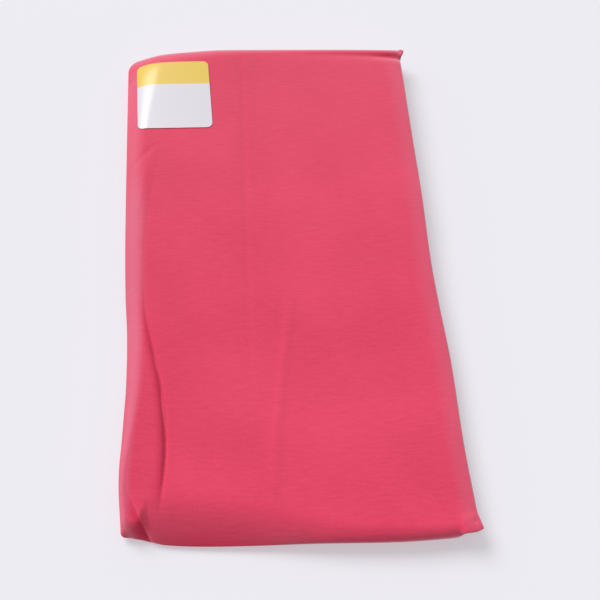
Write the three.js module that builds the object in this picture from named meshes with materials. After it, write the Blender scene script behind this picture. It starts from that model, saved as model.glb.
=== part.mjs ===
// Leggings folded into a flat packet, lying on their underside.
// Millimetres. +X is the packet's right, +Y its far end, +Z up, and the table is z = 0.
import * as THREE from 'three';
import { mergeVertices } from 'three/addons/utils/BufferGeometryUtils.js';

// Plan outline. The left side is one thick roll, the right side a stack of tight folds
const LEFT_SIDE = [ // [y, x]
  [-166, -96.6], [-139, -98.0], [-113, -97.5], [-77, -95.2], [-45, -95.1],
  [-17, -96.9], [26, -97.7], [166, -97.9],
];
const RIGHT_SIDE = [ // [y, x]
  [-172, 97.9], [-161, 96.0], [-127, 94.8], [-71, 94.6], [-31, 93.4], [-2, 92.7],
  [36, 93.9], [85, 93.9], [137, 95.0], [160, 95.6], [168, 97.6],
];
const NEAR_END = [ // [x, y]
  [-98, -162.6], [-87, -164.8], [-76, -168.2], [-50, -172.2], [0, -174.3],
  [50, -176.5], [80, -176.8], [86, -175.7], [98, -174.9],
];
const FAR_END = [ // [x, y]
  [-98, 171.5], [-83, 173.0], [-58, 176.2], [-38, 176.8], [-7, 174.5],
  [27, 172.0], [61, 169.4], [98, 166.0],
];
const PACKET_LEFT = -98;
const PACKET_RIGHT = 96;
const NEAR_LEFT_CORNER = 4;
const FAR_LEFT_CORNER = 11;

// Height of the top face, and how far each edge takes to roll down from it
const TOP_HEIGHT = [[-176, 15.0], [-60, 15.6], [60, 18.0], [176, 19.0]]; // [y, height]
const EDGE_HEIGHT = 0.48; // the outline runs at this share of the top's height
const LEFT_ROLL = [[-165, 12], [-60, 10], [60, 10], [110, 13], [170, 20]]; // [y, width]
const NEAR_ROLL = [[-98, 24], [-50, 22], [0, 14], [50, 8.5], [98, 8]]; // [x, width]
const FAR_ROLL = [[-98, 22], [-60, 14], [0, 9], [98, 8]]; // [x, width]
const UNDER_ROLL = 8;

// Long crease at the left, over the edge of the narrower calf layers inside
const CREASE_LINE = [ // [y, x]
  [-155, -76], [-133, -73.3], [-119, -72.2], [-101, -73.3], [-80, -76.1],
  [-57, -80.8], [-30, -85.0], [20, -84.6],
];
const CREASE_DEPTH = [[-165, 0], [-120, 1.1], [-60, 1.1], [15, 0]]; // [y, depth]
const CREASE_LEFT_WIDTH = 10;
const CREASE_RIGHT_WIDTH = 4.5;

// Cloth and the stack of folds at the right side
const CLOTH = 1.2;
const GAP = 0.3;
const FOLD = 2 * CLOTH + GAP; // two layers folded flat on each other
const FOLD_RADIUS = FOLD / 2;
const FOLD_WIDTH = 24; // how far a fold's return reaches back into the packet
const FOLD_LANES = [16, 8]; // insets of the rings between its return's end and its bead
const SECOND_LEG_INSET = 2.2;
const CORE_INSET = 3.4;
const CORE_GROOVE = 6;
const CLOSED_INSET = 1.8; // how far in from the ends a layer lies once it has closed

// Waistband on the underside, across the end of the waist flap
const ROW_LENGTH = 340; // usual length from the near end to the far end
const BAND = { left: -88, right: 91.5, seamFromFarEnd: 66, wide: 35, thick: 2.4, bevel: 0.8 };
const BAND_FAR = 1 - BAND.seamFromFarEnd / ROW_LENGTH; // as shares of the way to the far end
const BAND_NEAR = BAND_FAR - BAND.wide / ROW_LENGTH;
const BAND_RAMP = 16 / ROW_LENGTH;

// Paper label on the top face
const LABEL = { left: -90.2, right: -40, near: 105.2, far: 163.2, corner: 4, thick: 0.4, tilt: 0.025 };

// Mesh density
const EVEN_ROWS = 30; // from the near end to the far end
const LANES = 20; // from the left side to the folds at the right
const BEAD_STEPS = 5;

const mix = (from, to, share) => from + (to - from) * share;

// Value at a place, on a smooth curve through a table's [place, value] rows
function along(table, place) {
  const last = table.length - 1;
  if (place <= table[0][0]) return table[0][1];
  if (place >= table[last][0]) return table[last][1];
  const k = table.findIndex((row) => row[0] > place) - 1;
  const slope = (i) => (i === 0 || i === last
    ? 0
    : (table[i + 1][1] - table[i - 1][1]) / (table[i + 1][0] - table[i - 1][0]));
  const width = table[k + 1][0] - table[k][0];
  const t = (place - table[k][0]) / width;
  return table[k][1] * (1 + 2 * t) * (1 - t) ** 2
    + slope(k) * width * t * (1 - t) ** 2
    + table[k + 1][1] * t * t * (3 - 2 * t)
    + slope(k + 1) * width * t * t * (t - 1);
}

// Share of full height at a distance in from an edge that rolls over a given width
function roll(distance, width) {
  const left = 1 - THREE.MathUtils.clamp(distance / width, 0, 1);
  return Math.sqrt(1 - left * left);
}

// How far a rounded corner draws a side in, at a distance from the end
function cornerInset(distance, radius) {
  const left = THREE.MathUtils.clamp(radius - distance, 0, radius);
  return radius - Math.sqrt(radius * radius - left * left);
}

// Height of the fully raised top face
function topHeight(x, y) {
  const across = x - along(CREASE_LINE, y);
  const width = across < 0 ? CREASE_LEFT_WIDTH : CREASE_RIGHT_WIDTH;
  return along(TOP_HEIGHT, y) - along(CREASE_DEPTH, y) * Math.exp(-((across / width) ** 2));
}

// The underside lies at z = 0, and is lifted where the waistband lies under it
function underHeight(alongShare) {
  const before = THREE.MathUtils.smoothstep(alongShare, BAND_NEAR - BAND_RAMP, BAND_NEAR);
  const after = THREE.MathUtils.smoothstep(alongShare, BAND_FAR, BAND_FAR + BAND_RAMP);
  return (BAND.thick + GAP) * before * (1 - after);
}

// Point on one of the packet's nested layers.
// alongShare: 0 near to 1 far. acrossShare: 0 left to 1 right.
// depth: how far in from the outer face. inset: how far in from the right side.
// closing: 0 to 1, how far the layer has closed onto the packet's middle plane.
function layerPoint({ upper, alongShare, acrossShare, depth, inset, closing = 0 }) {
  const nominal = mix(PACKET_LEFT, PACKET_RIGHT - inset, acrossShare);
  const near = along(NEAR_END, nominal) + depth + closing * CLOSED_INSET;
  const far = along(FAR_END, nominal) - depth - closing * CLOSED_INSET;
  const y = mix(near, far, alongShare);
  const fromNear = y - near;
  const fromFar = far - y;
  const corner = cornerInset(fromNear, NEAR_LEFT_CORNER) + cornerInset(fromFar, FAR_LEFT_CORNER);
  const left = along(LEFT_SIDE, y) + corner + depth;
  const right = along(RIGHT_SIDE, y) - inset;
  const x = mix(left, right, acrossShare);
  const edge = EDGE_HEIGHT * along(TOP_HEIGHT, y);
  const rise = upper
    ? (topHeight(x, y) - depth - edge)
      * roll(x - left, along(LEFT_ROLL, y) - depth)
      * roll(fromNear, along(NEAR_ROLL, x) - depth)
      * roll(fromFar, along(FAR_ROLL, x) - depth)
    : -(edge - depth - underHeight(alongShare))
      * roll(x - left, UNDER_ROLL - depth)
      * roll(fromNear, UNDER_ROLL - depth)
      * roll(fromFar, UNDER_ROLL - depth);
  return new THREE.Vector3(x, y, edge + rise * (1 - closing));
}

// Rows from end to end: closer together at the ends, and set by the waistband where it lies
function rowShares() {
  const start = BAND_NEAR - BAND_RAMP;
  const end = BAND_FAR + BAND_RAMP;
  const even = Array.from({ length: EVEN_ROWS + 1 }, (_, row) =>
    0.5 - 0.5 * Math.cos((Math.PI * row) / EVEN_ROWS));
  return [
    ...even.filter((share) => share < start - BAND_RAMP / 3),
    start, mix(start, BAND_NEAR, 0.5), BAND_NEAR, mix(BAND_NEAR, BAND_FAR, 0.5),
    BAND_FAR, mix(BAND_FAR, end, 0.5), end,
    ...even.filter((share) => share > end + BAND_RAMP / 3),
  ];
}

const ROWS = rowShares();

// One ring around the packet, along its top to the far end and back along its underside
function layerRing(place) {
  const upper = ROWS.slice(0, -1).map((alongShare) =>
    layerPoint({ ...place, upper: true, alongShare }));
  const lower = ROWS.slice(1).reverse().map((alongShare) =>
    layerPoint({ ...place, upper: false, alongShare }));
  return [...upper, ...lower];
}

// Rings from the left edge to where the folds' returns end
function leftRings(depth, inset) {
  return Array.from({ length: LANES + 1 }, (_, lane) => {
    const acrossShare = 1 - Math.cos((Math.PI / 2) * (lane / LANES));
    return layerRing({ acrossShare, depth, inset });
  });
}

const flatRings = (insets, depth) =>
  insets.map((inset) => layerRing({ acrossShare: 1, depth, inset }));

// Rings around a fold's bead, from its upper layer to its lower one
function beadRings(middleInset, middleDepth, radius, steps) {
  return Array.from({ length: steps + 1 }, (_, step) => {
    const angle = Math.PI * (0.5 - step / steps);
    return layerRing({
      acrossShare: 1,
      depth: middleDepth - radius * Math.sin(angle),
      inset: middleInset - radius * Math.cos(angle),
    });
  });
}

// Closed solid through a row of rings, whose end rings have closed onto a line or a point
function solidThrough(rings, joinEnds = false) {
  const count = rings[0].length;
  const index = [];
  const spans = joinEnds ? rings.length : rings.length - 1;
  for (let k = 0; k < spans; k += 1) {
    const here = k * count;
    const next = ((k + 1) % rings.length) * count;
    for (let j = 0; j < count; j += 1) {
      const following = (j + 1) % count;
      index.push(here + j, next + j, next + following);
      index.push(here + j, next + following, here + following);
    }
  }
  const open = new THREE.BufferGeometry();
  open.setAttribute('position', new THREE.Float32BufferAttribute(
    rings.flat().flatMap((point) => point.toArray()), 3));
  open.setIndex(index);
  return facingOut(mergeVertices(open, 1e-3));
}

// Drops triangles that have closed up, and turns the rest to face out
function facingOut(geometry) {
  const corners = Array.from(geometry.index.array);
  const point = (i) => new THREE.Vector3().fromBufferAttribute(geometry.attributes.position, i);
  const kept = [];
  let volume = 0;
  for (let i = 0; i < corners.length; i += 3) {
    const [a, b, c] = corners.slice(i, i + 3);
    if (a === b || b === c || c === a) continue;
    kept.push(a, b, c);
    volume += point(a).dot(point(b).cross(point(c)));
  }
  geometry.setIndex(volume > 0 ? kept : kept.reverse());
  geometry.computeVertexNormals();
  return geometry;
}

// Insets of the rings over the folds, from the returns' ends to a bead's middle
const foldInsets = (beadMiddle) => [FOLD_WIDTH, ...FOLD_LANES, beadMiddle];

// First leg: one cloth wall all round the packet, folded back on itself at the right
function legOuter() {
  const insets = foldInsets(FOLD_RADIUS);
  const back = [...insets].reverse();
  return solidThrough([
    ...leftRings(0, FOLD_WIDTH),
    ...flatRings(insets.slice(1, -1), 0),
    ...beadRings(FOLD_RADIUS, FOLD_RADIUS, FOLD_RADIUS, BEAD_STEPS),
    ...flatRings(back.slice(1), FOLD),
    ...flatRings(insets.slice(0, -1), CLOTH + GAP),
    ...beadRings(FOLD_RADIUS, FOLD_RADIUS, GAP / 2, 2).reverse(),
    ...flatRings(back.slice(1, -1), CLOTH),
    ...leftRings(CLOTH, FOLD_WIDTH).reverse(),
  ]);
}

// Second leg: the same fold, nested inside the first one's
function legInner() {
  const outer = FOLD + GAP;
  const beadMiddle = SECOND_LEG_INSET + FOLD_RADIUS;
  const insets = foldInsets(beadMiddle);
  const back = [...insets].reverse();
  return solidThrough([
    ...flatRings(insets.slice(0, -1), outer),
    ...beadRings(beadMiddle, outer + FOLD_RADIUS, FOLD_RADIUS, BEAD_STEPS),
    ...flatRings(back.slice(1), outer + FOLD),
    ...flatRings(insets.slice(0, -1), outer + CLOTH + GAP),
    ...beadRings(beadMiddle, outer + FOLD_RADIUS, GAP / 2, 2).reverse(),
    ...flatRings(back.slice(1), outer + CLOTH),
  ], true);
}

// Hidden layers: one rounded solid inside both legs, with a groove between its layers at the right
function foldedLayers() {
  const shallow = CLOTH + 2 * GAP;
  const deep = 2 * (FOLD + GAP);
  const edge = [ // [inset, closing]
    [CORE_INSET + 0.8, 0], [CORE_INSET, 0.25], [CORE_INSET, 0.55],
    [CORE_INSET + 1, 0.85], [CORE_INSET + CORE_GROOVE, 1],
  ];
  return solidThrough([
    ...leftRings(shallow, FOLD_WIDTH).slice(0, -1),
    ...flatRings([FOLD_WIDTH + 2 * GAP], shallow),
    ...flatRings([FOLD_WIDTH + GAP, ...FOLD_LANES], deep),
    ...edge.map(([inset, closing]) => layerRing({ acrossShare: 1, depth: deep, inset, closing })),
  ]);
}

// Waistband casing: a flat strip set into the underside, parallel to the packet's far end
function waistband() {
  const { left, right, wide, thick, bevel } = BAND;
  const section = (x, shrink) => {
    const near = along(NEAR_END, x);
    const far = along(FAR_END, x);
    const middle = mix(near, far, mix(BAND_NEAR, BAND_FAR, 0.5));
    const reachY = wide / 2 - bevel;
    const reachZ = thick / 2 - bevel;
    const radius = bevel - shrink;
    const steps = 3;
    return [[1, 1], [-1, 1], [-1, -1], [1, -1]].flatMap(([sideY, sideZ], quarter) =>
      Array.from({ length: steps + 1 }, (_, step) => {
        const angle = (Math.PI / 2) * (quarter + step / steps);
        const y = middle + sideY * reachY + radius * Math.cos(angle);
        const z = thick / 2 + sideZ * reachZ + radius * Math.sin(angle);
        return new THREE.Vector3(x, y, z);
      }));
  };
  const cap = (x) => {
    const ring = section(x, bevel);
    const centre = ring.reduce((sum, point) => sum.add(point), new THREE.Vector3())
      .divideScalar(ring.length);
    return ring.map(() => centre);
  };
  const spans = 16;
  return solidThrough([
    cap(left),
    section(left, bevel * 0.6),
    section(left + bevel * 0.6, bevel * 0.2),
    ...Array.from({ length: spans + 1 }, (_, k) =>
      section(mix(left + 2 * bevel, right - 2 * bevel, k / spans), 0)),
    section(right - bevel * 0.6, bevel * 0.2),
    section(right, bevel * 0.6),
    cap(right),
  ]);
}

// Height of the packet's outer face above a point in plan
function faceHeight(x, y) {
  const near = along(NEAR_END, x);
  const far = along(FAR_END, x);
  const left = along(LEFT_SIDE, y) + cornerInset(far - y, FAR_LEFT_CORNER);
  const edge = EDGE_HEIGHT * along(TOP_HEIGHT, y);
  return edge + (topHeight(x, y) - edge)
    * roll(x - left, along(LEFT_ROLL, y))
    * roll(y - near, along(NEAR_ROLL, x))
    * roll(far - y, along(FAR_ROLL, x));
}

// Paper label: the face's own points inside a rounded oblong, moved up
function label() {
  const { left, right, near, far, corner, thick, tilt } = LABEL;
  const centre = new THREE.Vector2((left + right) / 2, (near + far) / 2);
  const half = new THREE.Vector2((right - left) / 2, (far - near) / 2);
  const outline = [];
  const cornerSteps = 4;
  const sideSteps = 6;
  const signs = [[1, 1], [-1, 1], [-1, -1], [1, -1]];
  signs.forEach(([sx, sy], k) => {
    const middle = new THREE.Vector2(sx * (half.x - corner), sy * (half.y - corner));
    for (let step = 0; step <= cornerSteps; step += 1) {
      const angle = (Math.PI / 2) * (k + step / cornerSteps);
      outline.push(new THREE.Vector2(Math.cos(angle), Math.sin(angle)).multiplyScalar(corner).add(middle));
    }
    const from = outline[outline.length - 1];
    const [nx, ny] = signs[(k + 1) % signs.length];
    const quarter = (Math.PI / 2) * (k + 1);
    const to = new THREE.Vector2(nx * (half.x - corner), ny * (half.y - corner))
      .add(new THREE.Vector2(Math.cos(quarter), Math.sin(quarter)).multiplyScalar(corner));
    for (let step = 1; step < sideSteps; step += 1) {
      outline.push(from.clone().lerp(to, step / sideSteps));
    }
  });
  const ring = (scale, lift) => outline.map((corners) => {
    const x = centre.x + corners.x * scale;
    const y = centre.y + corners.y * scale + (x - centre.x) * tilt;
    return new THREE.Vector3(x, y, faceHeight(x, y) + lift);
  });
  const scales = [0, 0.25, 0.5, 0.75, 0.92, 1];
  return solidThrough([
    ...scales.map((scale) => ring(scale, GAP + thick)),
    ...[...scales].reverse().map((scale) => ring(scale, GAP)),
  ]);
}

const jersey = { color: 0xe04c69, roughness: 0.9, metalness: 0 };
const paper = { color: 0xe8e4ee, roughness: 0.45, metalness: 0 };
const pieces = [ // [name, shape, finish]
  ['leg_outer', legOuter, jersey],
  ['leg_inner', legInner, jersey],
  ['folded_layers', foldedLayers, jersey],
  ['waistband', waistband, jersey],
  ['label', label, paper],
];

const packet = new THREE.Group();
for (const [name, shape, finish] of pieces) {
  const mesh = new THREE.Mesh(shape(), new THREE.MeshStandardMaterial(finish));
  mesh.name = name;
  packet.add(mesh);
}

export default packet;
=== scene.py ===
"""Leggings folded into a flat packet, seen from above their near end.

Shapes are worked out in millimetres, in the frame's own axes, and become metres in add_mesh().
+X is the packet's right, +Y its far end, +Z up.
"""
import math
import bpy
import numpy as np
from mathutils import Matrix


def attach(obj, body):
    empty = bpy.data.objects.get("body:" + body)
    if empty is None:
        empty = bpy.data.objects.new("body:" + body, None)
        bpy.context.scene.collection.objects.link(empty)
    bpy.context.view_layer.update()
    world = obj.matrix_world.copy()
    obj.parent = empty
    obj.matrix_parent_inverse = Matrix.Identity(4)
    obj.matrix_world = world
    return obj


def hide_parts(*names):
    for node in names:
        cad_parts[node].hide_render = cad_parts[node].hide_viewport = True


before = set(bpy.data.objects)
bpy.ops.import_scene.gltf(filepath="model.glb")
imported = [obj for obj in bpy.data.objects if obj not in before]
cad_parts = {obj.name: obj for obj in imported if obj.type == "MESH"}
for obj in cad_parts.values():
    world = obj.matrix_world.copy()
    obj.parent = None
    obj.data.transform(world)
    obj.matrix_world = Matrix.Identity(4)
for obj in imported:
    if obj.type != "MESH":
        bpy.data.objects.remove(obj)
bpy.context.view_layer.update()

MM = 0.001

# Plan outline. along() reads every table of two columns as a smooth curve
LEFT_SIDE = [  # y, x
    (-166, -97.6), (-139, -99), (-125, -98.8), (-113, -97.8), (-95, -96.7), (-77, -95.7), (-45, -95.6),
    (-17, -97), (26, -97.8), (166, -97.9),
]
RIGHT_SIDE = [  # y, x
    (-176, 97.9), (-173, 97), (-170, 96.3), (-165, 95.7), (-157, 95.4), (-127, 94.6), (-77, 94.9),
    (-38, 93.3), (-8, 92.6), (40, 93.5), (84, 93.4), (134, 93.6), (150, 93.6), (156, 94.5), (162, 97.2),
]
NEAR_END = [  # x, y
    (-98, -164.2), (-90, -165.5), (-85, -166.8), (-76, -169.4), (-50, -172.2), (0, -175.2),
    (50, -178.2), (78, -178.3), (86, -177.7), (90, -177.4), (93, -177), (95, -176.2),
]
FAR_END = [  # x, y
    (-98, 173.5), (-90, 174.6), (-78, 175.8), (-58, 176.2), (-38, 176), (-7, 173.4),
    (27, 170.6), (61, 168.0), (90.5, 165.4), (92, 164.7), (93.4, 163), (95, 162.4),
]
PACKET_LEFT = -98  # nominal sides, which give the x at which both ends' tables are read
PACKET_RIGHT = 96
NEAR_LEFT_CORNER = 3
NEAR_RIGHT_CORNER = 0.8
FAR_LEFT_CORNER = 11

# Heights, how far in from each edge its roll reaches, and the powers that roll() takes
TOP_HEIGHT = [(-176, 15.0), (-60, 15.6), (60, 18.0), (176, 19.0)]  # y, height
EDGE_HEIGHT = 0.48  # the outline runs at this share of the top's height
NEAR_EDGE_HEIGHT = [(-98, 0.3), (-86, 0.2), (-60, 0.2), (-20, 0.34), (20, 0.6), (98, 0.64)]  # x, share
NEAR_EDGE_REACH = (110, 165)  # how far nearer than the middle the near end's share starts, and is whole
LEFT_ROLL = [  # y, width
    (-165, 5), (-137, 5), (-115, 7), (-90, 10), (-55, 11.5), (-15, 13), (60, 14), (110, 16), (170, 25),
]
LEFT_ROLL_POWER = 0.9
RIGHT_FALL = [(-177, 1.4), (0, 0.6), (158, 0.4)]  # y, how far the face falls to the right edge
RIGHT_FALL_WIDE = 13
NEAR_ROLL = [(-98, 12), (-88, 9), (-81, 24), (-40, 25), (0, 16), (40, 9), (84, 6), (98, 5)]  # x, width
NEAR_ROLL_POWER = [(-98, 0.9), (-30, 0.95), (20, 0.58), (98, 0.5)]  # x, power
FAR_ROLL = [(-98, 30), (-60, 17), (0, 9), (98, 7.5)]  # x, width
UNDER_ROLL = 8

# Stack of folds at the right side
FOLD = 2.7
FOLD_RADIUS = FOLD / 2
GAP = 0.3
FOLD_WIDTH = 24
FOLD_STEP = 1.2
FOLD_STEPS_ROUND = 9
FOLD_STEPS_INSIDE = 4
OUTER_INSETS = [16, 12, 8, 5, 3]  # where the hidden side of the first leg's fold has its points
CLOTH = 0.8
SECOND_LEG_INSET = 2.2
SECOND_LEG_INSETS = [FOLD_WIDTH, 18, 12, 8, 5.5]
CORE_DEPTH = 1.8  # of the hidden layers under the face, and under the fold's outer width
CORE_DEEP = 2 * (FOLD + GAP)
CORE_INSETS = [FOLD_WIDTH + GAP, 18, 12, 8]
CORE_INSET = 3.4
CORE_LOBES = 2
CORE_LOBE_DEPTH = 2.2
CORE_LOBE_POWER = 0.6
CORE_STEPS_ROUND = 25
CORE_CLOSING = 0.94  # how nearly closed the layers are where the lobes end
CORE_GROOVE = 6
CLOSED_INSET = 1.8  # how far in from both ends a closed layer lies

# Points of the top face: nominal length and width, and the steps across it
ROW_LENGTH = 340
FACE_WIDTH = 170
ROLL_STEPS = (0.04, 0.45, 10)  # first, last and how many, over the left roll's edge
CREASE_STEPS = 58  # as wide as the last of the roll's
FACE_STEP_GROWTH = 1.06
FACE_STEP_WIDEST = 1.6

# Waistband, across the end of the waist flap on the underside
BAND_LEFT = -88
BAND_RIGHT = 91.5
BAND_WIDE = 35
BAND_THICK = 2.4
BAND_BEVEL = 0.8
# Its far and near edges, and the ramps beside them, as shares of the packet's length
BAND_FAR = 1 - 66 / ROW_LENGTH
BAND_NEAR = BAND_FAR - BAND_WIDE / ROW_LENGTH
BAND_RAMP = 16 / ROW_LENGTH
BAND_LENGTH = 180  # nominal, for its points
BAND_END_NARROWS = 0.02  # share of its width that it loses at its very ends
BAND_END_THICK = 0.02  # share of its thickness that is left there
BAND_STEPS = 46
BAND_BEVEL_STEPS = 5
GATHER_DEPTH = 0.28
GATHER_REACH = (1.2, 6)  # how far in from the band's long edges the gathers start, and are whole
GATHER_SIZE = 0.5
GATHER_WAVES = (3.1, 4.3, 7.9)
GATHER_SEED = 5
GATHER_LONG_WAVES = (5.3, 11.0, 23.0)
GATHER_LONG_SEED = 6
STITCH_ROWS = (11.2, 14)  # how far each row lies beyond the band's middle line
STITCH_LONG = 2.3
STITCH_GAP = 0.7
STITCH_FROM_END = 3
STITCH_GROOVE = 0.9
STITCH_POINTS = 8
THREAD_SIDES = 6
THREAD_THICK = 0.36
THREAD_SINKS = 0.95  # how far in a stitch's ends lie, in thread thicknesses, and how far it bows out
THREAD_BOWS = 0.42

# Paper label
LABEL_LEFT = -90.2
LABEL_RIGHT = -40
LABEL_NEAR = 103
LABEL_FAR = 161
LABEL_CORNER = 4
LABEL_TILT = -0.05  # slope of its near and far edges
LABEL_LEAN = -0.03  # slope of its sides
LABEL_THICK = 0.14
LABEL_STEPS = 49
LABEL_BAND_START = 0.655  # share of its length at which the yellow band starts

# Long creases of the top face: line as y and x, height as y and height, and the width on each side of
# the line. A bell with a height above 0 is a ridge, and one with a height below 0 is a trough. A step
# is high on its left and rolls down to its line, where it ends in a groove
LONG_CREASES = [
    {   # edge of the thick left roll against the face
        "shape": "step",
        "line": [(-158, -75.6), (-133, -72.8), (-119, -71.9), (-101, -72.4), (-80, -74.7),
                 (-57, -79.1), (-30, -84), (14, -84.2), (47, -81.2), (72, -76.8), (87, -74.2)],
        "height": [(-158, 0), (-145, 0.8), (-125, 2.2), (-95, 2.6), (-65, 2.2), (-35, 1.0), (-8, 0.3),
                   (40, 0.25), (60, 0.2), (86, 0)],
        "left": 5.5, "right": 1.2,
    },
    {   # pressed line down the middle
        "shape": "bell",
        "line": [(-93, -22.4), (-41, -21.8), (45, -19.7), (166, -17.5)],
        "height": [(-105, 0), (-80, -0.15), (-20, -0.25), (40, -0.34), (150, -0.3), (168, 0)],
        "left": 1.8, "right": 1.2,
    },
    {   # soft ridge over a fold inside
        "shape": "bell",
        "line": [(-159, -13.3), (-117, -10.2), (-69, -2.6), (-22, 4.0)],
        "height": [(-162, 0), (-140, 0.35), (-60, 0.48), (-35, 0.28), (-15, 0)],
        "left": 2.4, "right": 3.2,
    },
    {   # slack ridge below the label, running up to it from the left roll
        "shape": "bell",
        "line": [(31, -92.8), (45, -87.3), (66, -83.6), (83, -79.8), (97, -74)],
        "height": [(28, 0), (45, 0.2), (68, 0.3), (84, 0.2), (97, 0)],
        "left": 3, "right": 2.4,
    },
    {   # short trough that crosses the ridge's far end
        "shape": "bell",
        "line": [(72, -94), (75, -91.5), (80.4, -87.6), (86.5, -81.8), (91, -75.8)],
        "height": [(72, 0), (78, -0.3), (87, -0.35), (94, 0)],
        "left": 2.4, "right": 2.4,
    },
    {   # faint light line under the label's right corner
        "shape": "bell",
        "line": [(50, -25.5), (61, -28.0), (86, -33.7), (105, -37.8)],
        "height": [(48, 0), (62, 0.16), (86, 0.2), (106, 0)],
        "left": 1.8, "right": 2.4,
    },
    {   # low ridge beside the parcel fold across the near left corner
        "shape": "bell",
        "line": [(-169, -80.6), (-162, -83.4), (-153.8, -87.1), (-144.8, -90.5), (-137.8, -93.3)],
        "height": [(-170, 0.15), (-162, 0.2), (-153, 0.25), (-145, 0.2), (-134, 0)],
        "left": 1.8, "right": 3.2,
    },
]
STEP_POWER = 0.68
STEP_GROOVE = 0.3  # share of the step's height
STEP_GROOVE_LEFT = 1.2
# Soft creases of the underside, all bells, which rise from the flat that it rests on
UNDER_CREASES = [
    {
        "line": [(-172, -38), (-90, -30), (0, -33), (62, -28)],
        "height": [(-172, 0), (-130, 0.5), (-40, 0.6), (62, 0)],
        "left": 3, "right": 4.5,
    },
    {
        "line": [(-120, 48), (-40, 41), (66, 46)],
        "height": [(-120, 0), (-70, 0.4), (0, 0.5), (66, 0)],
        "left": 4, "right": 3,
    },
    {
        "line": [(118, 12), (140, 17), (165, 15)],
        "height": [(116, 0), (132, 0.5), (150, 0.4), (168, 0)],
        "left": 3, "right": 3,
    },
]
# Dents of the top face: x, y, radius across, radius along, depth
DENTS = [
    (-30, -120, 40, 55, 0.35),
    (45, -60, 36, 60, 0.3),
    (30, 90, 45, 40, 0.25),
    (-55, 40, 24, 60, 0.25),
    (-95.5, 151, 2.2, 3.0, 1.6),
    (94, -171, 0.8, 1.6, 1.1),
]
# Parcel fold at the near left corner: the face falls to its line from the left
PARCEL_LINE = [(-169, -81.8), (-162, -84.6), (-153.8, -88.3), (-144.8, -91.7), (-137.8, -94.5)]  # y, x
PARCEL_DEPTH = [(-168, 1.2), (-163, 2.8), (-157, 2.6), (-150, 1.2), (-143, 0.5), (-136, 0)]  # y, depth
PARCEL_LEFT = 8
PARCEL_POWER = 0.9
PARCEL_RIGHT = 1.3
# Corners at the right where only the outer fold reaches out, flattened, at the level of the face:
# x where it starts and is whole, y where it starts and is whole, level as a share of the face's
# height, share of its own height kept
FLAPS = [
    (84.5, 87.5, -165, -171, 0.98, 0.2),
    (92.2, 94.8, 151, 155, 0.91, 0.12),
]
# Fuzz lies flat where the cloth is pressed: how far left of the left crease's line, how far from there
# to each side, and the heights of that crease and of the parcel fold at which it starts and is whole
PRESSED_BESIDE = 1.2
PRESSED_LEFT = 2.6
PRESSED_RIGHT = 1.6
PRESSED_CREASE = (0.1, 1.2)
PRESSED_PARCEL = (0.2, 1.6)
# Rounded patches where it lies flat too: x, y, reach across, reach along, share
PRESSED_PATCHES = [
    (-87, -165, 5, 8, 0.9),
    (-52, -172, 34, 9, 0.8),
    (40, -176, 48, 7, 0.5),
]
# It lies flat along the left fold's very edge: y and share, how far in, and the shares of that
# distance over which it stops
PRESSED_EDGE = [(-170, 0.9), (-110, 1), (-80, 0.95), (-50, 0.85), (60, 0.8), (110, 0.6), (150, 0.3)]
PRESSED_EDGE_WIDE = 5.5
PRESSED_EDGE_FALL = (0.2, 1.6)
# Painted sheen and shade: a paler, greyer pink painted into the cloth's colour in a band along each
# side, for the sheen of the rolled edges and to dim their red. Each band's fall is the shares of its width
# over which it stops
PAINTED_SHEEN_LEFT = [  # y, x of the left band's inner boundary
    (-168, -91), (-147, -91.5), (-119, -90), (-77, -85), (-25, -84.4), (14, -84.5), (40, -83.5),
    (60, -85), (150, -87),
]
PAINTED_SHEEN_LEFT_SHARE = [  # y, share
    (-168, 0.5), (-150, 0.9), (-60, 0.9), (-40, 1), (35, 1), (65, 0.6), (95, 0.4), (150, 0.4), (165, 0),
]
PAINTED_SHEEN_LEFT_FALL = (0.65, 1.2)
PAINTED_SHEEN_RIGHT_WIDE = 11
PAINTED_SHEEN_RIGHT_SHARE = 0.5
PAINTED_SHEEN_RIGHT_FALL = (0.3, 1.2)
# Valley behind the far rim: x to y of its line, and x to its depth
FAR_VALLEY_LINE = [(0, 164), (24, 161.6), (45, 160), (66, 158.2), (83, 156.6), (90, 155.8), (96, 154)]
FAR_VALLEY_DEPTH = [(8, 0), (45, 0.4), (70, 0.9), (83, 1.9), (90, 2.4), (96, 2.2)]
FAR_VALLEY_NEAR_WIDTH = 3.4
FAR_VALLEY_FAR_WIDTH = 1.7

# Patterns of the materials, as real sizes
GRAIN = 1.1
STREAK_LONG = 9
STREAK_WIDE = 1.6
PATCH = 50
WALE_WIDE = 0.8
COURSE_WIDE = 0.7
WAVE_SCALE = 0.318  # a wave texture of this scale repeats about once a unit
KNIT_RELIEF = 0.12
LABEL_FIBRES = 90  # along the label
LABEL_RELIEF = 0.05

# Where the sky is bright and the key stands, the sky's strengths, and the key's degrees and power
SKY_TOWARDS = (-0.25, 0.85, 0.45)
SKY_COLOUR = (1, 0.99, 1.0, 1)
SKY_DIM = 0.0
SKY_BRIGHT = 0.7
KEY_TOWARDS = (-0.42, 0.55, 0.72)
KEY_DEGREES = 34
KEY_POWER = 2.4
FLOOR_REACH = 4000

CAMERA_PLACE = (-9.2, -286.7, 495)
CAMERA_PITCH = 61.9
CAMERA_TURN = 4.2
FOCAL_LENGTH_PX = 900
IMAGE_PX = 600
SENSOR_WIDTH = 36
CLIP_START = 10


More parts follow.
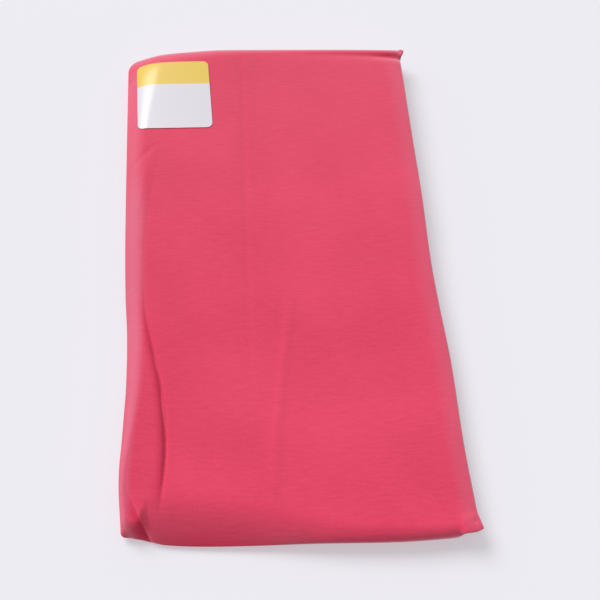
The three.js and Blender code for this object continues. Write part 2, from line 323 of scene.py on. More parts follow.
def along(table, place):
    """Cubic Hermite curve through a table's (place, value) rows, flat beyond its two ends."""
    places, values = np.array(table, float).T
    slopes = np.zeros_like(values)
    slopes[1:-1] = (values[2:] - values[:-2]) / (places[2:] - places[:-2])
    at = np.clip(place, places[0], places[-1])
    k = np.clip(np.searchsorted(places, at, side="right") - 1, 0, len(places) - 2)
    width = places[k + 1] - places[k]
    t = (at - places[k]) / width
    return (values[k] * (1 + 2 * t) * (1 - t) ** 2 + slopes[k] * width * t * (1 - t) ** 2
            + values[k + 1] * t * t * (3 - 2 * t) + slopes[k + 1] * width * t * t * (t - 1))


def smoothstep(value, start, end):
    """3 t squared minus 2 t cubed, for t from 0 at start to 1 at end."""
    t = np.clip((value - start) / (end - start), 0, 1)
    return t * t * (3 - 2 * t)


def roll(distance, width, power=0.5):
    """Share of full height at a distance in from an edge: (1 - t squared) to a power.

    t falls from 1 at the edge to 0 at the width. A power of 0.5 is a quarter circle, a higher one
    slopes more evenly.
    """
    left = 1 - np.clip(distance / width, 0, 1)
    return (1 - left * left) ** power


def corner_inset(distance, radius):
    """Quarter circle: how far a rounded corner draws a side in, at a distance from the end."""
    left = np.clip(radius - distance, 0, radius)
    return radius - np.sqrt(radius * radius - left * left)


def bell(across, left, right):
    """Bell curve exp(-(d/w) squared), with its own width w on each side."""
    return np.exp(-(across / np.where(across < 0, left, right)) ** 2)


def round_bell(across, down, reach_x, reach_y):
    """Bell curve in two directions, exp(-(a/w) squared - (b/v) squared), with a width in each."""
    return np.exp(-(across / reach_x) ** 2 - (down / reach_y) ** 2)


def wander(place, seed, size, wavelengths):
    """Mean of sines of unrelated wavelengths, each with a random phase, times a size."""
    phases = np.random.default_rng(seed).uniform(0, 2 * math.pi, len(wavelengths))
    waves = [np.sin(2 * math.pi * place / w + p) for w, p in zip(wavelengths, phases)]
    return size * sum(waves) / len(waves)


def top_height(x, y):
    """Height of the raised top face: a smooth slope along y, plus each crease's bell or step.

    Each dent takes a round bell away, the valley takes a bell behind its line, and the face falls to
    the right edge by the square of how near that is.
    """
    height = along(TOP_HEIGHT, y)
    for crease in LONG_CREASES:
        across = x - along(crease["line"], y)
        if crease["shape"] == "step":
            shape = np.where(across < 0, roll(-across, crease["left"], STEP_POWER), 0)
            shape = shape - STEP_GROOVE * bell(across, STEP_GROOVE_LEFT, crease["right"])
        else:
            shape = bell(across, crease["left"], crease["right"])
        height = height + along(crease["height"], y) * shape
    for dent_x, dent_y, reach_x, reach_y, depth in DENTS:
        height = height - depth * round_bell(x - dent_x, y - dent_y, reach_x, reach_y)
    behind = y - along(FAR_VALLEY_LINE, x)
    valley = bell(behind, FAR_VALLEY_NEAR_WIDTH, FAR_VALLEY_FAR_WIDTH)
    beside = np.clip(1 - (along(RIGHT_SIDE, y) - x) / RIGHT_FALL_WIDE, 0, 1)
    return height - along(FAR_VALLEY_DEPTH, x) * valley - along(RIGHT_FALL, y) * beside ** 2


def under_height(x, y, along_share):
    """Lift of the underside: over the waistband, with a smooth ramp on each side, and each crease."""
    before = smoothstep(along_share, BAND_NEAR - BAND_RAMP, BAND_NEAR)
    after = smoothstep(along_share, BAND_FAR, BAND_FAR + BAND_RAMP)
    lift = (BAND_THICK + GAP) * before * (1 - after)
    for crease in UNDER_CREASES:
        across = x - along(crease["line"], y)
        lift = lift + along(crease["height"], y) * bell(across, crease["left"], crease["right"])
    return lift


def edge_height(x, y):
    """Height of the outline: a share of the top's height, which changes smoothly to the near end."""
    near = smoothstep(-y, *NEAR_EDGE_REACH)
    share = EDGE_HEIGHT + (along(NEAR_EDGE_HEIGHT, x) - EDGE_HEIGHT) * near
    return share * along(TOP_HEIGHT, y)


def parcel_fold(x, y):
    """Depth that the near left fold falls by: a rounded slope from its left, and a steep rise."""
    across = x - along(PARCEL_LINE, y)
    slope = 1 - roll(-across, PARCEL_LEFT, PARCEL_POWER)
    rise = bell(across, PARCEL_RIGHT, PARCEL_RIGHT)
    return along(PARCEL_DEPTH, y) * np.where(across < 0, slope, rise)


def flatten_corners(x, y, height, edge):
    """Heights near the right corners, drawn by a smooth share to a level just under the face."""
    face = top_height(x, y)
    for start_x, whole_x, start_y, whole_y, level, kept in FLAPS:
        share = smoothstep(x, start_x, whole_x) * smoothstep(y, start_y, whole_y)
        height = height + share * (level * face + (height - edge) * kept - height)
    return height


def layer_points(upper, along_share, across_share, depth, inset, closing=0.0):
    """Points of one nested layer of the packet, as in the solids, with the creases of the cloth.

    Plan: a blend of the two sides and the two ends. Height: the outline's height, plus the rise of
    the top face, or less the drop to the table, times roll() in from each rolled edge. The parcel
    fold's depth comes off the top, and the right corners are flattened. Closing brings the upper and
    lower points together, by its share, at the outline's height.
    """
    nominal = PACKET_LEFT + (PACKET_RIGHT - inset - PACKET_LEFT) * across_share
    near = along(NEAR_END, nominal) + depth + closing * CLOSED_INSET
    far = along(FAR_END, nominal) - depth - closing * CLOSED_INSET
    y = near + (far - near) * along_share
    corner = corner_inset(y - near, NEAR_LEFT_CORNER) + corner_inset(far - y, FAR_LEFT_CORNER)
    left = along(LEFT_SIDE, y) + corner + depth
    right = along(RIGHT_SIDE, y) - inset - corner_inset(y - near, NEAR_RIGHT_CORNER)
    x = left + (right - left) * across_share
    edge = edge_height(x, y)
    if upper:
        left_width = along(LEFT_ROLL, y) - depth
        rise = (top_height(x, y) - depth - edge) * roll(x - left, left_width, LEFT_ROLL_POWER)
        rise = rise * roll(y - near, along(NEAR_ROLL, x) - depth, along(NEAR_ROLL_POWER, x))
        rise = rise * roll(far - y, along(FAR_ROLL, x) - depth) - parcel_fold(x, y)
    else:
        drop = edge - depth - under_height(x, y, along_share)
        rise = -drop * roll(x - left, UNDER_ROLL - depth)
        rise = rise * roll(y - near, UNDER_ROLL - depth) * roll(far - y, UNDER_ROLL - depth)
    height = flatten_corners(x, y, edge + rise * (1 - closing), edge)
    return np.stack(np.broadcast_arrays(x, y, height), axis=-1)


def graded(total, first, growth, widest, both_ends=True):
    """Shares from 0 to 1 whose steps grow in a geometric row, from the first to the widest.

    They start from one end, or from both ends to meet in the middle.
    """
    enough = math.ceil(total / first)
    steps = np.minimum(first * growth ** np.arange(enough), widest)
    places = np.cumsum(steps)
    reach = total / 2 if both_ends else total
    places = places[places < reach - steps[0]]
    back = total - places[::-1] if both_ends else []
    return np.concatenate([[0], places, back, [total]]) / total


def face_lanes():
    """Shares across the top face: close together on the left roll and over the left creases."""
    roll_steps = np.linspace(*ROLL_STEPS)
    step = roll_steps[-1]
    crease_steps = np.full(CREASE_STEPS, step)
    face_steps = np.minimum(step * FACE_STEP_GROWTH ** np.arange(FACE_WIDTH), FACE_STEP_WIDEST)
    places = np.cumsum(np.concatenate([[0], roll_steps, crease_steps, face_steps]))
    return np.append(places[places < FACE_WIDTH - 1], FACE_WIDTH) / FACE_WIDTH


def layer_rings(rows, rings):
    """Rings round the packet: each ring is (across share, depth, inset, closing).

    A ring is one line of points over the upper half and back under the lower one.
    """
    across, depth, inset, closing = np.array(rings, float).T[:, :, None]
    upper = layer_points(True, rows[None, :], across, depth, inset, closing)
    lower = layer_points(False, rows[None, :], across, depth, inset, closing)
    return np.concatenate([upper[:, :-1], lower[:, :0:-1]], axis=1)


def bead(middle_inset, middle_depth, radius, steps):
    """Half circle of rings round a fold's bead, from its upper layer to its lower one."""
    angles = np.linspace(math.pi / 2, -math.pi / 2, steps + 1)
    return [(1, middle_depth - radius * math.sin(a), middle_inset - radius * math.cos(a), 0)
            for a in angles]


def add_mesh(name, points, faces, uvs=None, shares=()):
    """Mesh object at the origin from points in millimetres, four-cornered faces and their UVs.

    A corner that repeats the one before it is left out, which makes the triangles at a pole.
    Each named share of the points becomes an attribute that the material reads.
    """
    used, faces = np.unique(faces, return_inverse=True)
    faces = faces.reshape(-1, 4)
    points = points[used]
    kept = faces != np.roll(faces, 1, axis=1)
    whole = kept.sum(axis=1) > 2
    faces, kept = faces[whole], kept[whole]
    starts = np.cumsum(kept.sum(axis=1)) - kept.sum(axis=1)
    mesh = bpy.data.meshes.new(name)
    mesh.vertices.add(len(points))
    mesh.vertices.foreach_set("co", (points * MM).astype(np.float32).ravel())
    mesh.loops.add(int(kept.sum()))
    mesh.loops.foreach_set("vertex_index", faces[kept].astype(np.int32))
    mesh.polygons.add(len(faces))
    mesh.polygons.foreach_set("loop_start", starts.astype(np.int32))
    mesh.polygons.foreach_set("use_smooth", np.ones(len(faces), bool))
    if uvs is not None:
        layer = mesh.uv_layers.new(name="cloth")
        layer.data.foreach_set("uv", (uvs[whole][kept] * MM).astype(np.float32).ravel())
    for share_name, share in shares:
        values = mesh.attributes.new(share_name, "FLOAT", "POINT")
        values.data.foreach_set("value", share[used].astype(np.float32))
    mesh.update(calc_edges=True)
    mesh.validate()
    piece = bpy.data.objects.new(name, mesh)
    bpy.context.scene.collection.objects.link(piece)
    return piece


def signed_volume(points, faces):
    """Sum of the tetrahedra from the origin to each face's two triangles."""
    a, b, c, d = (points[faces[:, i]] for i in range(4))
    return np.sum(a * np.cross(b, c)) + np.sum(a * np.cross(c, d))


def turned_out(points, faces, uvs=None):
    """Points as one list, with faces and UVs by fours, turned round where their volume is below 0."""
    points = points.reshape(-1, 3)
    faces = faces.reshape(-1, 4)
    uvs = None if uvs is None else uvs.reshape(-1, 4, 2)
    if signed_volume(points, faces) < 0:
        faces = faces[:, ::-1]
        uvs = None if uvs is None else uvs[:, ::-1]
    return points, faces, uvs


def ring_faces(points, closed_rings=(), join_ends=False):
    """Faces between neighbouring rings. A closed ring's upper and lower halves are one line."""
    count, size = points.shape[:2]
    ids = np.arange(count * size).reshape(count, size)
    for ring in closed_rings:
        ids[ring, size // 2 + 1:] = ids[ring, size // 2 - 1:0:-1]
    following = np.roll(ids, -1, axis=0) if join_ends else ids[1:]
    first = ids if join_ends else ids[:-1]
    faces = np.stack([first, following, np.roll(following, -1, 1), np.roll(first, -1, 1)], axis=-1)
    return faces


def cloth_uvs(points):
    """UVs in millimetres: u runs across the cloth from its left edge, v along it from its near end.

    The lower half has u below 0, so that the knit goes on round the left roll.
    """
    count, size = points.shape[:2]
    half = size // 2
    middle = points[:, half // 2]
    u = np.concatenate([[0], np.cumsum(np.linalg.norm(np.diff(middle, axis=0), axis=1))])
    lane = points[count // 3, :half + 1]
    v = np.concatenate([[0], np.cumsum(np.linalg.norm(np.diff(lane, axis=0), axis=1))])
    v_round = np.concatenate([v, v[-2:0:-1], v[:1]])
    sign = np.where(np.arange(size) < half, 1, -1)
    corner_u = np.stack([u[:-1], u[1:], u[1:], u[:-1]], axis=-1)[:, None, :] * sign[None, :, None]
    corner_v = np.stack([v_round[:-1], v_round[:-1], v_round[1:], v_round[1:]], axis=-1)
    return np.stack(np.broadcast_arrays(corner_u, corner_v[None]), axis=-1)


def add_rings(name, points, closed_rings=(), join_ends=False):
    """Closed piece through a row of rings, turned to face out, with cloth UVs."""
    faces = ring_faces(points, closed_rings, join_ends)
    padded = np.concatenate([points, points[:1]]) if join_ends else points
    points, faces, uvs = turned_out(points, faces, cloth_uvs(padded))
    x, y = points[:, 0], points[:, 1]
    # painted_sheen marks where the colour is painted paler and greyer to stand for sheen on the rolled
    # sides
    shares = [("pressed", pressed_share(x, y)), ("painted_sheen", painted_sheen_share(x, y))]
    return add_mesh(name, points, faces, uvs, shares)


def painted_sheen_share(x, y):
    """How much painted sheen and shade, a paler, greyer pink, goes into the colour, 0 to 1: even in a band
    along each side, then a smooth fall to 0.
    """
    left = along(LEFT_SIDE, y)
    reach = (x - left) / (along(PAINTED_SHEEN_LEFT, y) - left)
    left_share = along(PAINTED_SHEEN_LEFT_SHARE, y) * (1 - smoothstep(reach, *PAINTED_SHEEN_LEFT_FALL))
    from_right = (along(RIGHT_SIDE, y) - x) / PAINTED_SHEEN_RIGHT_WIDE
    right_share = PAINTED_SHEEN_RIGHT_SHARE * (1 - smoothstep(from_right, *PAINTED_SHEEN_RIGHT_FALL))
    return np.maximum(left_share, right_share)


def pressed_share(x, y):
    """How hard the cloth is pressed, 0 to 1.

    The most of a bell over the left crease, the parcel fold's fall, a fall from the left edge, and
    each patch's bell.
    """
    crease = LONG_CREASES[0]
    across = x - along(crease["line"], y) + PRESSED_BESIDE
    strength = smoothstep(along(crease["height"], y), *PRESSED_CREASE)
    beside = bell(across, PRESSED_LEFT, PRESSED_RIGHT) * strength
    share = np.maximum(beside, smoothstep(parcel_fold(x, y), *PRESSED_PARCEL))
    from_edge = (x - along(LEFT_SIDE, y)) / PRESSED_EDGE_WIDE
    share = np.maximum(share, along(PRESSED_EDGE, y) * (1 - smoothstep(from_edge, *PRESSED_EDGE_FALL)))
    for patch_x, patch_y, reach_x, reach_y, most in PRESSED_PATCHES:
        share = np.maximum(share, most * round_bell(x - patch_x, y - patch_y, reach_x, reach_y))
    return share


def leg_outer_cloth():
    """First leg: rings from the left edge over the face, round the right fold and back inside."""
    rows = graded(ROW_LENGTH, first=0.3, growth=1.06, widest=2.1)
    inner_lanes = graded(FACE_WIDTH, first=0.8, growth=1.25, widest=7, both_ends=False)
    fold_insets = np.arange(FOLD_WIDTH - FOLD_STEP, FOLD_RADIUS + FOLD_STEP / 2, -FOLD_STEP)
    back = OUTER_INSETS[::-1] + [FOLD_WIDTH]
    rings = [(share, 0, FOLD_WIDTH, 0) for share in face_lanes()]
    rings += [(1, 0, inset, 0) for inset in fold_insets]
    rings += bead(FOLD_RADIUS, FOLD_RADIUS, FOLD_RADIUS, FOLD_STEPS_ROUND)
    rings += [(1, FOLD, inset, 0) for inset in back]
    rings += [(1, FOLD - CLOTH, inset, 0) for inset in back[::-1]]
    rings += bead(FOLD_RADIUS, FOLD_RADIUS, FOLD_RADIUS - CLOTH, FOLD_STEPS_INSIDE)[::-1]
    rings += [(1, CLOTH, inset, 0) for inset in OUTER_INSETS[::-1]]
    rings += [(share, CLOTH, FOLD_WIDTH, 0) for share in inner_lanes[::-1]]
    points = layer_rings(rows, rings)
    return add_rings("leg_outer_cloth", points, closed_rings=(0, len(rings) - 1))


def leg_inner_cloth():
    """Second leg: the same fold, nested inside the first one's and a little further in."""
    rows = graded(ROW_LENGTH, first=0.5, growth=1.12, widest=3.2)
    outer = FOLD + GAP
    middle = SECOND_LEG_INSET + FOLD_RADIUS
    insets = SECOND_LEG_INSETS
    rings = [(1, outer, inset, 0) for inset in insets]
    rings += bead(middle, outer + FOLD_RADIUS, FOLD_RADIUS, FOLD_STEPS_ROUND)
    rings += [(1, outer + FOLD, inset, 0) for inset in insets[::-1]]
    rings += [(1, outer + FOLD - CLOTH, inset, 0) for inset in insets]
    rings += bead(middle, outer + FOLD_RADIUS, FOLD_RADIUS - CLOTH, FOLD_STEPS_INSIDE)[::-1]
    rings += [(1, outer + CLOTH, inset, 0) for inset in insets[::-1]]
    points = layer_rings(rows, rings)
    return add_rings("leg_inner_cloth", points, join_ends=True)


def folded_layers_cloth():
    """Hidden layers: one rounded form, whose right side shows the edges of its folds.

    Each edge is a lobe, which stands out by a power of the sine of how far round the side it is.
    """
    rows = graded(ROW_LENGTH, first=0.6, growth=1.15, widest=4)
    lanes = graded(FACE_WIDTH, first=1.0, growth=1.3, widest=6, both_ends=False)
    rings = [(share, CORE_DEPTH, FOLD_WIDTH, 0) for share in lanes[:-1]]
    rings += [(1, CORE_DEPTH, FOLD_WIDTH + 2 * GAP, 0)]
    rings += [(1, CORE_DEEP, inset, 0) for inset in CORE_INSETS]
    for closing in np.linspace(0, CORE_CLOSING, CORE_STEPS_ROUND):
        lobe = abs(math.sin(math.pi * CORE_LOBES * closing / CORE_CLOSING)) ** CORE_LOBE_POWER
        rings += [(1, CORE_DEEP, CORE_INSET + CORE_LOBE_DEPTH * (1 - lobe), closing)]
    rings += [(1, CORE_DEEP, CORE_INSET + CORE_GROOVE, 1)]
    points = layer_rings(rows, rings)
    return add_rings("folded_layers_cloth", points, closed_rings=(0, len(rings) - 1))


def band_middle(x):
    """y of the band's middle line: a fixed share of the way from the near end to the far one."""
    near = along(NEAR_END, x)
    far = along(FAR_END, x)
    return near + (far - near) * (BAND_NEAR + BAND_FAR) / 2


def waistband_cloth():
    """Casing over elastic: a rounded oblong section carried across the packet, with gathers.

    The gathers are sines of the place across, that lift the lower face and never lower it.
    """
    x = BAND_LEFT + (BAND_RIGHT - BAND_LEFT) * graded(BAND_LENGTH, first=0.25, growth=1.3, widest=0.8)
    middle = band_middle(x)
    from_end = np.minimum(x - BAND_LEFT, BAND_RIGHT - x)
    end = roll(from_end, BAND_BEVEL)
    half_wide = BAND_WIDE / 2
    steps = np.linspace(0, math.pi / 2, BAND_BEVEL_STEPS)
    straight = np.linspace(-1, 1, BAND_STEPS)[1:-1] * (half_wide - BAND_BEVEL)
    section = []
    for side_y, side_z, start in ((1, 1, 0), (-1, 1, 1), (-1, -1, 2), (1, -1, 3)):
        for angle in steps + start * math.pi / 2:
            section.append((side_y * (half_wide - BAND_BEVEL) + BAND_BEVEL * math.cos(angle),
                            side_z * (BAND_THICK / 2 - BAND_BEVEL) + BAND_BEVEL * math.sin(angle)))
        if start in (0, 2):
            section += [(-side_y * place, side_z * BAND_THICK / 2) for place in straight]
    across, height = np.array(section).T
    gathers = wander(x, GATHER_SEED, GATHER_SIZE, GATHER_WAVES)
    gathers = gathers + wander(x, GATHER_LONG_SEED, GATHER_SIZE, GATHER_LONG_WAVES)
    face = smoothstep(half_wide - np.abs(across), *GATHER_REACH)[None, :] * (height < 0)[None, :]
    lift = np.maximum(GATHER_DEPTH * (GATHER_SIZE + gathers[:, None]) * face, 0)
    for row in STITCH_ROWS:
        groove = bell(across - row, STITCH_GROOVE, STITCH_GROOVE)
        lift = lift + THREAD_THICK * groove[None, :] * face
    y = middle[:, None] + across[None, :] * (1 - BAND_END_NARROWS + BAND_END_NARROWS * end[:, None])
    z = BAND_THICK / 2 + height[None, :] * np.maximum(end[:, None], BAND_END_THICK) + lift
    points = np.stack(np.broadcast_arrays(x[:, None], y, z), axis=-1)
    caps = points[[0, -1]].mean(axis=1, keepdims=True) * np.ones((1, len(section), 1))
    points = np.concatenate([caps[:1], points, caps[1:]])
    count, size = points.shape[:2]
    ids = np.arange(count * size).reshape(count, size)
    ids[0] = ids[0, 0]
    ids[-1] = ids[-1, 0]
    faces = np.stack([ids[:-1], ids[1:], np.roll(ids[1:], -1, 1), np.roll(ids[:-1], -1, 1)], axis=-1)
    u = np.concatenate([x[:1], x, x[-1:]])
    round_v = np.concatenate([[0], np.cumsum(np.hypot(np.diff(across), np.diff(height)))])
    next_v = np.append(round_v[1:], round_v[-1] + 1)
    uvs = np.stack(np.broadcast_arrays(
        np.stack([u[:-1], u[1:], u[1:], u[:-1]], axis=-1)[:, None],
        np.stack([round_v, round_v, next_v, next_v], axis=-1)[None]), axis=-1)
    return add_mesh("waistband_cloth", *turned_out(points, faces, uvs))


def band_stitches():
    """Two rows of thread along the casing's seam, each stitch a spindle that sinks in at its ends.

    Its centre line is half a sine wave below the pulled-in cloth, and its radius the root of one.
    """
    last = BAND_RIGHT - STITCH_FROM_END - STITCH_LONG
    starts = np.arange(BAND_LEFT + STITCH_FROM_END, last, STITCH_LONG + STITCH_GAP)
    share = np.linspace(0, 1, STITCH_POINTS)
    turn = np.linspace(0, 2 * math.pi, THREAD_SIDES, endpoint=False)
    x = starts[:, None] + STITCH_LONG * share[None, :]
    middle = band_middle(x)
    radius = THREAD_THICK / 2 * np.sqrt(np.sin(math.pi * share))
    centre = THREAD_THICK * (THREAD_SINKS - THREAD_BOWS * np.sin(math.pi * share))
    rows = []
    for row in STITCH_ROWS:
        y = middle[:, :, None] + row + (radius[:, None] * np.cos(turn[None, :]))[None]
        z = (centre[:, None] + radius[:, None] * np.sin(turn[None, :]))[None]
        rows.append(np.stack(np.broadcast_arrays(x[:, :, None], y, z), axis=-1))
    points = np.concatenate(rows)
    ids = np.arange(points[..., 0].size).reshape(points.shape[:3])
    ids[:, 0] = ids[:, 0, :1]
    ids[:, -1] = ids[:, -1, :1]
    first, following = ids[:, :-1], ids[:, 1:]
    faces = np.stack([first, following, np.roll(following, -1, 2), np.roll(first, -1, 2)], axis=-1)
    return add_mesh("waistband_stitches", *turned_out(points, faces))


def face_height(x, y):
    """Height of the packet's outer face above a point in plan, by layer_points()'s formula.

    It leaves out what lies away from the label: the near corners, the parcel fold and the flaps.
    """
    near = along(NEAR_END, x)
    far = along(FAR_END, x)
    left = along(LEFT_SIDE, y) + corner_inset(far - y, FAR_LEFT_CORNER)
    edge = edge_height(x, y)
    rise = (top_height(x, y) - edge) * roll(x - left, along(LEFT_ROLL, y), LEFT_ROLL_POWER)
    rise = rise * roll(y - near, along(NEAR_ROLL, x), along(NEAR_ROLL_POWER, x))
    return edge + rise * roll(far - y, along(FAR_ROLL, x))


def label_paper():
    """Thin sheet at the face's own heights: a rounded oblong, on a grid of its width and length."""
    half = np.array([LABEL_RIGHT - LABEL_LEFT, LABEL_FAR - LABEL_NEAR]) / 2
    centre = np.array([LABEL_RIGHT + LABEL_LEFT, LABEL_FAR + LABEL_NEAR]) / 2
    s = np.sin(np.linspace(-1, 1, LABEL_STEPS) * math.pi / 2)
    t = 2 * graded(2 * half[1], first=0.15, growth=1.3, widest=1.3) - 1
    inset = corner_inset(half[1] - np.abs(t) * half[1], LABEL_CORNER)
    across = s[:, None] * (half[0] - inset[None, :])
    down = t[None, :] * half[1] * np.ones_like(across)
    x = centre[0] + across + down * LABEL_LEAN
    y = centre[1] + down + across * LABEL_TILT
    ground = face_height(x, y)
    upper = np.stack([x, y, ground + GAP + LABEL_THICK], axis=-1)
    lower = np.stack([x, y, ground + GAP], axis=-1)
    columns, rows = s.size, t.size
    upper_ids = np.arange(columns * rows).reshape(columns, rows)
    lower_ids = upper_ids + columns * rows

    def quads(ids):
        """Faces between the neighbouring points of one side."""
        corners = [ids[:-1, :-1], ids[1:, :-1], ids[1:, 1:], ids[:-1, 1:]]
        return np.stack(corners, axis=-1).reshape(-1, 4)

    def rim(ids):
        """Points round one side's border, in order."""
        return np.concatenate([ids[:, 0], ids[-1, 1:], ids[-2::-1, -1], ids[0, -2:0:-1]])

    top_rim, low_rim = rim(upper_ids), rim(lower_ids)
    wall = np.stack([top_rim, low_rim, np.roll(low_rim, -1), np.roll(top_rim, -1)], axis=-1)
    faces = np.concatenate([quads(upper_ids), quads(lower_ids)[:, ::-1], wall])
    points = np.concatenate([upper.reshape(-1, 3), lower.reshape(-1, 3)])
    flat = np.stack([across, down], axis=-1).reshape(-1, 2)
    uvs = (np.concatenate([flat, flat])[faces] / (2 * half) + 0.5) / MM
    return add_mesh("label_paper", points, faces, uvs)


def linear(hex_colour):
    """sRGB hex value to linear red, green, blue and full alpha."""
    channels = [int(hex_colour[i:i + 2], 16) / 255 for i in (1, 3, 5)]
    return [c / 12.92 if c <= 0.04045 else ((c + 0.055) / 1.055) ** 2.4 for c in channels] + [1]


def add_node(tree, kind, settings=(), **sockets):
    """Node of a kind, with its settings, and each named socket given a value or a link.

    A socket that shares its name with another one in use is given by its number, as in _2.
    """
    node = tree.nodes.new(kind)
    for key, value in dict(settings).items():
        setattr(node, key, value)
    for key, value in sockets.items():
        socket = node.inputs[int(key[1:])] if key[1:].isdigit() else node.inputs[key.replace("_", " ")]
        if isinstance(value, bpy.types.NodeSocket):
            tree.links.new(value, socket)
        else:
            socket.default_value = value
    return node


def new_material(name):
    """Material with an empty node tree and its output."""
    material = bpy.data.materials.new(name)
    material.use_nodes = True
    material.node_tree.nodes.clear()
    output = material.node_tree.nodes.new("ShaderNodeOutputMaterial")
    return material, material.node_tree, output


def single_jersey():
    """Cotton-lycra single jersey, dyed coral rose.

    Matt, with a fuzz that brightens at grazing angles and lies flat in hard creases, painted sheen and
    shade as a paler, greyer pink along both sides, short uneven streaks along its courses, and columns
    of stitches. The real stitches are 0.5 mm wide and are drawn 0.8 mm wide, to show.
    """
    material, tree, output = new_material("cotton_lycra_single_jersey")
    cloth = add_node(tree, "ShaderNodeUVMap", {"uv_map": "cloth"}).outputs["UV"]
    grain = add_node(tree, "ShaderNodeTexNoise", {"noise_dimensions": "2D"},
                     Vector=cloth, Scale=1 / (GRAIN * MM), Detail=2.0, Roughness=0.7)
    streak_place = add_node(tree, "ShaderNodeMapping", Vector=cloth,
                            Scale=(1 / (STREAK_LONG * MM), 1 / (STREAK_WIDE * MM), 1))
    streaks = add_node(tree, "ShaderNodeTexNoise", {"noise_dimensions": "2D"},
                       Vector=streak_place.outputs[0], Scale=1.0, Detail=3.0, Roughness=0.6)
    patches = add_node(tree, "ShaderNodeTexNoise", {"noise_dimensions": "2D"},
                       Vector=cloth, Scale=1 / (PATCH * MM), Detail=1.0, Roughness=0.4)
    grain_and_streaks = add_node(tree, "ShaderNodeMath", {"operation": "ADD"},
                                 _0=grain.outputs["Fac"], _1=streaks.outputs["Fac"])
    shade = add_node(tree, "ShaderNodeMath", {"operation": "ADD"},
                     _0=grain_and_streaks.outputs[0], _1=patches.outputs["Fac"])
    share = add_node(tree, "ShaderNodeMapRange", Value=shade.outputs[0], From_Min=0.9,
                     From_Max=2.1)
    colour = add_node(tree, "ShaderNodeMix", {"data_type": "RGBA"}, Factor=share.outputs[0],
                      A=linear("#d83154"), B=linear("#eb4266"))
    # Painted sheen and shade: along both sides the colour is mixed towards a paler, greyer pink, which
    # stands for the sheen of the rolled edges and dims their red
    painted_sheen = add_node(tree, "ShaderNodeAttribute", {"attribute_name": "painted_sheen"}).outputs["Fac"]
    painted_sheen_factor = add_node(tree, "ShaderNodeMapRange", Value=painted_sheen, To_Max=0.4)
    sheen_painted_colour = add_node(tree, "ShaderNodeMix", {"data_type": "RGBA"}, Factor=painted_sheen_factor.outputs[0],
                      A=colour.outputs["Result"], B=linear("#cf7691"))
    wale_place = add_node(tree, "ShaderNodeMapping", Vector=cloth,
                          Scale=(1 / (WALE_WIDE * MM), 1 / (COURSE_WIDE * MM), 1))
    wales = add_node(tree, "ShaderNodeTexWave", {"bands_direction": "X", "wave_profile": "SIN"},
                     Vector=wale_place.outputs[0], Scale=WAVE_SCALE, Distortion=0.4, Detail_Scale=1.5)
    courses = add_node(tree, "ShaderNodeTexWave", {"bands_direction": "Y", "wave_profile": "SIN"},
                       Vector=wale_place.outputs[0], Scale=WAVE_SCALE, Distortion=0.6, Detail_Scale=2.0)
    knit = add_node(tree, "ShaderNodeMath", {"operation": "MULTIPLY"},
                    _0=wales.outputs["Fac"], _1=courses.outputs["Fac"])
    relief = add_node(tree, "ShaderNodeMath", {"operation": "MULTIPLY_ADD"},
                      _0=streaks.outputs["Fac"], _1=1.2, _2=knit.outputs[0])
    bump = add_node(tree, "ShaderNodeBump", Strength=0.35, Distance=KNIT_RELIEF * MM,
                    Height=relief.outputs[0])
    pressed = add_node(tree, "ShaderNodeAttribute", {"attribute_name": "pressed"}).outputs["Fac"]
    fuzz = add_node(tree, "ShaderNodeMapRange", Value=pressed, To_Min=1.0, To_Max=0.1)
    shader = add_node(tree, "ShaderNodeBsdfPrincipled", Base_Color=sheen_painted_colour.outputs["Result"], Roughness=0.92,
                      Specular_IOR_Level=0.25, Sheen_Weight=fuzz.outputs[0], Sheen_Roughness=0.52,
                      Sheen_Tint=linear("#ffe6ee"), Normal=bump.outputs[0])
    tree.links.new(shader.outputs[0], output.inputs[0])
    return material


def polyester_thread():
    """Spun polyester sewing thread, dyed to match: a shade darker than the cloth, faintly glossy."""
    material, tree, output = new_material("spun_polyester_thread")
    shader = add_node(tree, "ShaderNodeBsdfPrincipled", Base_Color=linear("#c92e50"), Roughness=0.55,
                      Specular_IOR_Level=0.4)
    tree.links.new(shader.outputs[0], output.inputs[0])
    return material


def label_stock():
    """Coated white label paper, blank but for a flat yellow band printed across its far third."""
    material, tree, output = new_material("coated_label_paper")
    place = add_node(tree, "ShaderNodeUVMap", {"uv_map": "cloth"}).outputs["UV"]
    split = add_node(tree, "ShaderNodeSeparateXYZ", Vector=place)
    band = add_node(tree, "ShaderNodeMath", {"operation": "GREATER_THAN"},
                    _0=split.outputs["Y"], _1=LABEL_BAND_START)
    colour = add_node(tree, "ShaderNodeMix", {"data_type": "RGBA"}, Factor=band.outputs[0],
                      A=linear("#d6d1da"), B=linear("#e0bd38"))
    fibres = add_node(tree, "ShaderNodeTexNoise", Vector=place, Scale=LABEL_FIBRES, Detail=3.0)
    bump = add_node(tree, "ShaderNodeBump", Strength=0.1, Distance=LABEL_RELIEF * MM,
                    Height=fibres.outputs["Fac"])
    shader = add_node(tree, "ShaderNodeBsdfPrincipled", Base_Color=colour.outputs["Result"], Roughness=0.38,
                      Specular_IOR_Level=0.5, Coat_Weight=0.3, Coat_Roughness=0.25,
                      Normal=bump.outputs[0])
    tree.links.new(shader.outputs[0], output.inputs[0])
    return material


def floor_acrylic():
    """Matt pale lilac acrylic, cast, half lit from below as on a product table.

    Its own light keeps the shadows weak.
    """
    material, tree, output = new_material("lit_acrylic_sweep")
    shader = add_node(tree, "ShaderNodeBsdfPrincipled", Base_Color=linear("#aeadb2"), Roughness=0.9,
                      Specular_IOR_Level=0.1, Emission_Color=linear("#aeadb2"), Emission_Strength=1.0)
    tree.links.new(shader.outputs[0], output.inputs[0])
    return material


def finish_piece(piece, slot_name, material, *nodes):
    """Rides on the packet's one body, stands for its nodes, and takes its material; its slot name is not
    used.
    """
    piece.data.materials.append(material)
    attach(piece, "root")
    if nodes:
        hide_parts(*nodes)
    return piece


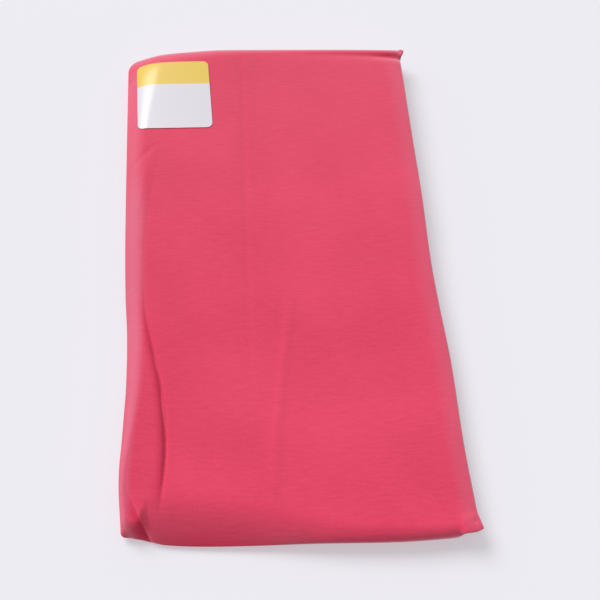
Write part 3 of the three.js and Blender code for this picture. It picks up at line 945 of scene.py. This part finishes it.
jersey = single_jersey()
outer = finish_piece(leg_outer_cloth(), "cotton_lycra_jersey", jersey, "leg_outer")
inner = finish_piece(leg_inner_cloth(), "cotton_lycra_jersey", jersey, "leg_inner")
core = finish_piece(folded_layers_cloth(), "cotton_lycra_jersey", jersey, "folded_layers")
band = finish_piece(waistband_cloth(), "cotton_lycra_jersey", jersey, "waistband")
finish_piece(band_stitches(), "cotton_lycra_jersey", polyester_thread())
label = finish_piece(label_paper(), "label_paper", label_stock(), "label")


def add_floor():
    """Large square that the packet lies on, through four corners."""
    signs = np.array([(-1, -1, 0), (1, -1, 0), (1, 1, 0), (-1, 1, 0)], float)
    floor = add_mesh("floor", signs * FLOOR_REACH, np.array([[0, 1, 2, 3]]))
    floor.data.materials.append(floor_acrylic())


def add_key(towards, wide, power):
    """Far soft light: the direction that it stands in, its width in degrees, its power per area."""
    data = bpy.data.lights.new("key", "SUN")
    data.angle = math.radians(wide)
    data.energy = power
    lamp = bpy.data.objects.new("key", data)
    right, back, up = towards
    lamp.location = towards
    lamp.rotation_euler = (math.atan2(math.hypot(right, back), up), 0, math.atan2(right, -back))
    bpy.context.scene.collection.objects.link(lamp)


def add_camera():
    """Camera at the photograph's angle: high over the near end, looking along the packet."""
    data = bpy.data.cameras.new("camera")
    data.sensor_width = SENSOR_WIDTH
    data.lens = FOCAL_LENGTH_PX / IMAGE_PX * SENSOR_WIDTH
    data.clip_start = CLIP_START * MM
    camera = bpy.data.objects.new("camera", data)
    camera.location = [value * MM for value in CAMERA_PLACE]
    camera.rotation_euler = (math.radians(90 - CAMERA_PITCH), 0, math.radians(-CAMERA_TURN))
    bpy.context.scene.collection.objects.link(camera)
    bpy.context.scene.camera = camera


def add_sky(towards, dim, bright):
    """Pale surround, whose light goes evenly from dim on one side to bright towards a direction."""
    world = bpy.data.worlds.new("surround")
    world.use_nodes = True
    tree = world.node_tree
    direction = add_node(tree, "ShaderNodeTexCoord").outputs["Generated"]
    aim = np.array(towards) / np.linalg.norm(towards)
    facing = add_node(tree, "ShaderNodeVectorMath", {"operation": "DOT_PRODUCT"}, _0=direction, _1=aim)
    strength = add_node(tree, "ShaderNodeMapRange", Value=facing.outputs["Value"], From_Min=-1.0,
                        From_Max=1.0, To_Min=dim, To_Max=bright)
    background = tree.nodes["Background"]
    background.inputs["Color"].default_value = SKY_COLOUR
    tree.links.new(strength.outputs[0], background.inputs["Strength"])
    bpy.context.scene.world = world


add_floor()
add_sky(SKY_TOWARDS, SKY_DIM, SKY_BRIGHT)
add_key(KEY_TOWARDS, KEY_DEGREES, KEY_POWER)
add_camera()
bpy.context.scene.view_settings.view_transform = "Standard"
